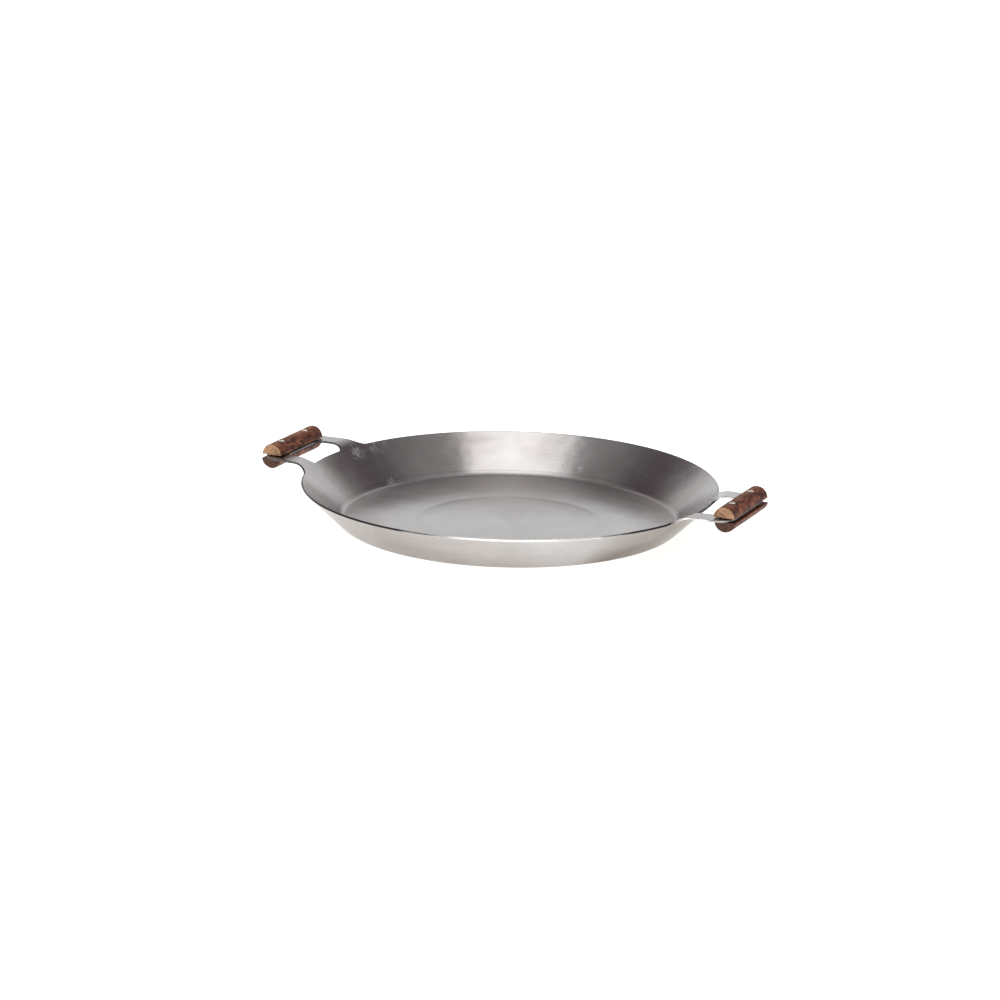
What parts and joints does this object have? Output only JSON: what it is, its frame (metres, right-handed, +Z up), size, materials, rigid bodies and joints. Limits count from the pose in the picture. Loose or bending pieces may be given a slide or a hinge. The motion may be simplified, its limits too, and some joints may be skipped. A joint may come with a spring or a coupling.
{
  "type": "two-handled cooking pan",
  "caption": "Shallow round steel pan with a sloping wall and an integral open ear on each side, each ear gripped between half-round wooden handle halves.",
  "frame": {"origin": "on the surface that the pan stands on, under the middle of its floor", "axes": "+Z up; +X from the left grip to the right grip; +Y to the rear, parallel to the grips"},
  "size_m": [0.7208, 0.584, 0.0844],
  "materials": {
    "pan_steel": "polished sheet steel with faint round brushing and fine scratches",
    "grip_wood": "oiled dark reddish brown hardwood, pale end grain on the cut ends",
    "fastener_steel": "bright stainless fasteners"
  },
  "bodies": {
    "root": {"pan_body": "pan_steel", "left_upper_grip": "grip_wood", "left_lower_grip": "grip_wood", "right_upper_grip": "grip_wood", "right_lower_grip": "grip_wood", "left_front_screw": "fastener_steel", "left_front_upper_spacer": "fastener_steel", "left_front_lower_spacer": "fastener_steel", "left_front_nut_washer": "fastener_steel", "left_front_nut": "fastener_steel", "left_rear_screw": "fastener_steel", "left_rear_upper_spacer": "fastener_steel", "left_rear_lower_spacer": "fastener_steel", "left_rear_nut_washer": "fastener_steel", "left_rear_nut": "fastener_steel", "right_front_screw": "fastener_steel", "right_front_upper_spacer": "fastener_steel", "right_front_lower_spacer": "fastener_steel", "right_front_nut_washer": "fastener_steel", "right_front_nut": "fastener_steel", "right_rear_screw": "fastener_steel", "right_rear_upper_spacer": "fastener_steel", "right_rear_lower_spacer": "fastener_steel", "right_rear_nut_washer": "fastener_steel", "right_rear_nut": "fastener_steel"}
  },
  "joints": []
}
